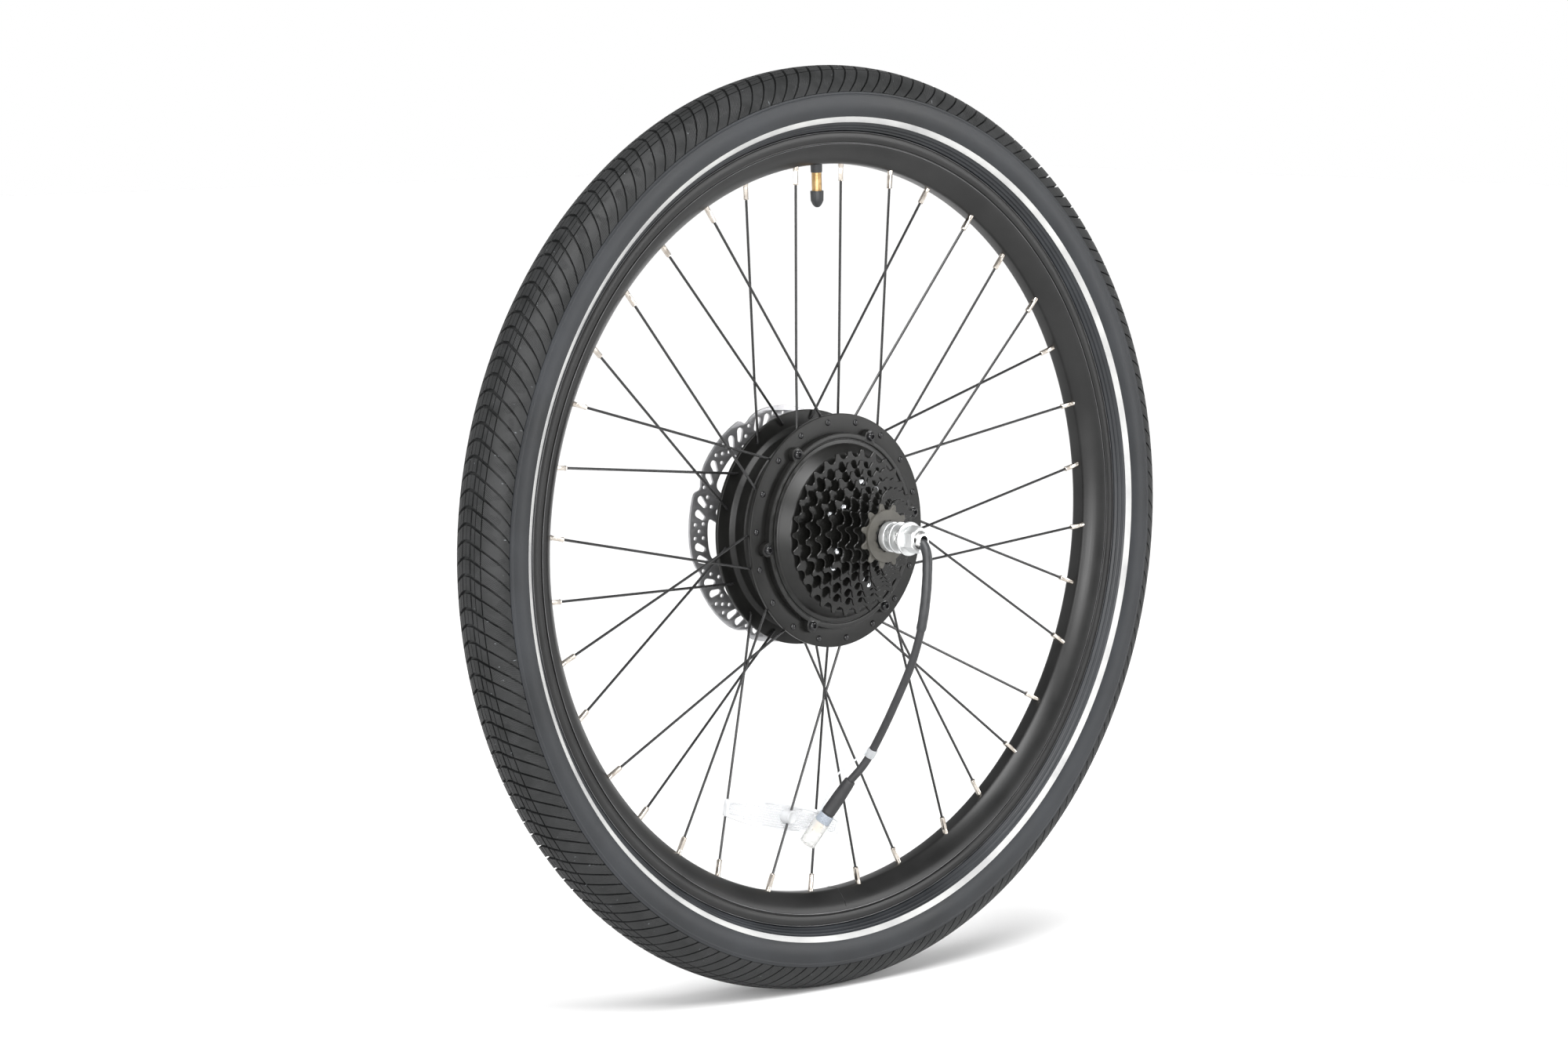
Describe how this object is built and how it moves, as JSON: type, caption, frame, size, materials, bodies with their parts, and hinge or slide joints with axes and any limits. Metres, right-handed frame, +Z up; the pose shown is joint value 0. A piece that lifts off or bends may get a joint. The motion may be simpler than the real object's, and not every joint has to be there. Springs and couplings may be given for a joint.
{
  "type": "hub motor wheel",
  "caption": "Rear electric-bicycle wheel laced round a geared hub motor, with cassette, disc rotor, tyre, spoke reflector and a motor cable ending in a capped plug.",
  "frame": {"origin": "centre of the wheel: on the axle's axis, in the tyre's middle plane", "axes": "+Y along the axle from the drive side (cassette) to the brake side; +Z up, as the motor cable hangs; +X towards the front of the bicycle"},
  "size_m": [0.694, 0.2148, 0.694],
  "materials": {
    "tyre": "matte",
    "inner_tube": "matte",
    "rim": "satin black anodised",
    "valve_stem": "satin",
    "valve_cap": "matte",
    "spoke": "gloss black",
    "hub_shell": "satin black",
    "side_cover": "satin black",
    "ring_gear": "ground",
    "bearing": "polished",
    "brake_rotor": "brushed",
    "spoke_reflector": "clear, prismatic",
    "axle": "bright plated",
    "axle_hardware": "zinc plated",
    "stator_core": "laminated",
    "stator_winding": "enamelled copper wire",
    "planet_carrier": "machined",
    "motor_cable": "matte",
    "cable_connector": "matte",
    "cap_tether": "translucent grey",
    "connector_cap": "translucent",
    "sprocket": "gloss black",
    "smallest_sprocket": "matte dark grey",
    "freehub_body": "machined",
    "cassette_lockring": "matte dark grey",
    "rotor_bell": "machined",
    "magnet_ring": "nickel plated",
    "sun_gear": "ground",
    "planet_gear": "natural nylon"
  },
  "bodies": {
    "axle_unit": {"axle": "axle", "brake_axle_nut": "axle_hardware", "brake_locknut": "axle_hardware", "brake_washer": "axle_hardware", "cable_connector": "cable_connector", "cap_tether": "cap_tether", "drive_axle_nut": "axle_hardware", "drive_locknut": "axle_hardware", "drive_washer": "axle_hardware", "motor_cable": "motor_cable", "planet_carrier": "planet_carrier", "stator_core": "stator_core", "stator_winding": "stator_winding"},
    "wheel": {"brake_rotor": "brake_rotor", "brake_side_bearing": "bearing", "brake_spoke_pair_1": "spoke", "brake_spoke_pair_2": "spoke", "brake_spoke_pair_3": "spoke", "brake_spoke_pair_4": "spoke", "brake_spoke_pair_5": "spoke", "brake_spoke_pair_6": "spoke", "brake_spoke_pair_7": "spoke", "brake_spoke_pair_8": "spoke", "brake_spoke_pair_9": "spoke", "drive_side_bearing": "bearing", "drive_spoke_pair_1": "spoke", "drive_spoke_pair_2": "spoke", "drive_spoke_pair_3": "spoke", "drive_spoke_pair_4": "spoke", "drive_spoke_pair_5": "spoke", "drive_spoke_pair_6": "spoke", "drive_spoke_pair_7": "spoke", "drive_spoke_pair_8": "spoke", "drive_spoke_pair_9": "spoke", "hub_shell": "hub_shell", "inner_tube": "inner_tube", "rim": "rim", "ring_gear": "ring_gear", "side_cover": "side_cover", "spoke_reflector": "spoke_reflector", "tyre": "tyre", "valve_stem": "valve_stem"},
    "cassette": {"cassette_lockring": "cassette_lockring", "freehub_body": "freehub_body", "sprocket_11t": "smallest_sprocket", "sprocket_13t": "sprocket", "sprocket_15t": "sprocket", "sprocket_17t": "sprocket", "sprocket_20t": "sprocket", "sprocket_23t": "sprocket", "sprocket_26t": "sprocket", "sprocket_30t": "sprocket"},
    "motor_rotor": {"rotor_bell": "rotor_bell", "magnet_ring": "magnet_ring", "sun_gear": "sun_gear"},
    "planet_1": {"planet_gear_1": "planet_gear"},
    "planet_2": {"planet_gear_2": "planet_gear"},
    "planet_3": {"planet_gear_3": "planet_gear"},
    "valve_cap": {"valve_cap": "valve_cap"},
    "connector_cap": {"connector_cap": "connector_cap"}
  },
  "joints": [
    {"name": "wheel_spin", "type": "hinge", "parent": "axle_unit", "child": "wheel", "pos_m": [0, 0, 0], "axis": [0, 1, 0], "continuous": true},
    {"name": "freewheel_spin", "type": "hinge", "parent": "wheel", "child": "cassette", "pos_m": [0, -0.045, 0], "axis": [0, 1, 0], "continuous": true},
    {"name": "motor_spin", "type": "hinge", "parent": "axle_unit", "child": "motor_rotor", "pos_m": [0, 0.01, 0], "axis": [0, 1, 0], "continuous": true},
    {"name": "planet_spin_1", "type": "hinge", "parent": "axle_unit", "child": "planet_1", "pos_m": [0, -0.0137, 0.0315], "axis": [0, 1, 0], "continuous": true},
    {"name": "planet_spin_2", "type": "hinge", "parent": "axle_unit", "child": "planet_2", "pos_m": [-0.02728, -0.0137, -0.01575], "axis": [0, 1, 0], "continuous": true},
    {"name": "planet_spin_3", "type": "hinge", "parent": "axle_unit", "child": "planet_3", "pos_m": [0.02728, -0.0137, -0.01575], "axis": [0, 1, 0], "continuous": true},
    {"name": "valve_cap_off", "type": "slide", "parent": "wheel", "child": "valve_cap", "axis": [0.0314, 0, -0.9995], "range_m": [0, 0.012]},
    {"name": "connector_cap_off", "type": "slide", "parent": "axle_unit", "child": "connector_cap", "axis": [-0.3251, 0.4568, -0.8281], "range_m": [0, 0.02]}
  ],
  "couplings": [
    {"joint": "motor_spin", "follows": "wheel_spin", "ratio": -5},
    {"joint": "planet_spin_1", "follows": "wheel_spin", "ratio": 2.5},
    {"joint": "planet_spin_2", "follows": "wheel_spin", "ratio": 2.5},
    {"joint": "planet_spin_3", "follows": "wheel_spin", "ratio": 2.5}
  ]
}
